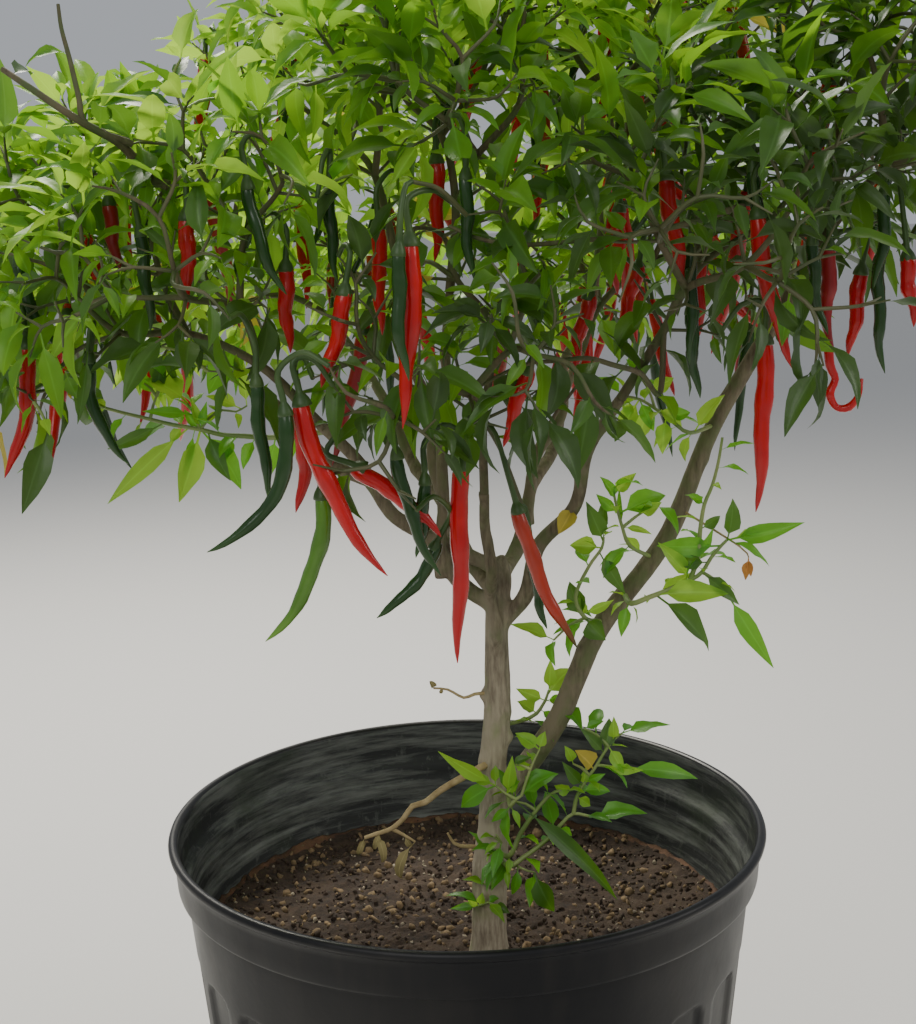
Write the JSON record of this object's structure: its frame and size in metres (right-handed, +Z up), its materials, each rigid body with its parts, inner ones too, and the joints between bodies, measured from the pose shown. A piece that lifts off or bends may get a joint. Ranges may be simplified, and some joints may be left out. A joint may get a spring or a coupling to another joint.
{
  "type": "chilli pepper plant in a nursery pot",
  "caption": "Bushy chilli pepper plant with long hanging pods and a forked woody stem, in a round ribbed black nursery pot filled with potting mix.",
  "frame": {"origin": "middle of the flat underside of the pot, on the surface that it stands on", "axes": "+Z up, +X to the right as seen in the picture, +Y away from the viewer"},
  "size_m": [0.6252, 0.478, 0.7867],
  "materials": {
    "pot": "satin",
    "soil": "matte",
    "bark": "matte",
    "foliage": "satin",
    "dry_foliage": "matte"
  },
  "bodies": {
    "root": {"pot": "pot", "soil": "soil", "trunk": "bark", "bough_right": "bark", "bough_back_right": "bark", "bough_back_left": "bark", "bough_left": "bark", "bough_front_left": "bark", "bough_front": "bark", "bough_front_right": "bark", "bough_crest_right": "bark", "bough_crest_left": "bark", "bough_crest_front": "bark", "foliage_right": "foliage", "foliage_back_right": "foliage", "foliage_back_left": "foliage", "foliage_left": "foliage", "foliage_front_left": "foliage", "foliage_front": "foliage", "foliage_front_right": "foliage", "foliage_crest_right": "foliage", "foliage_crest_left": "foliage", "foliage_crest_front": "foliage", "shoots_right_bough": "foliage", "shoots_inner_bough": "foliage", "shoots_left_bough": "foliage", "shoots_fork": "foliage", "shoots_stem": "foliage", "shoots_foot": "foliage", "dry_twig": "dry_foliage"}
  },
  "joints": []
}
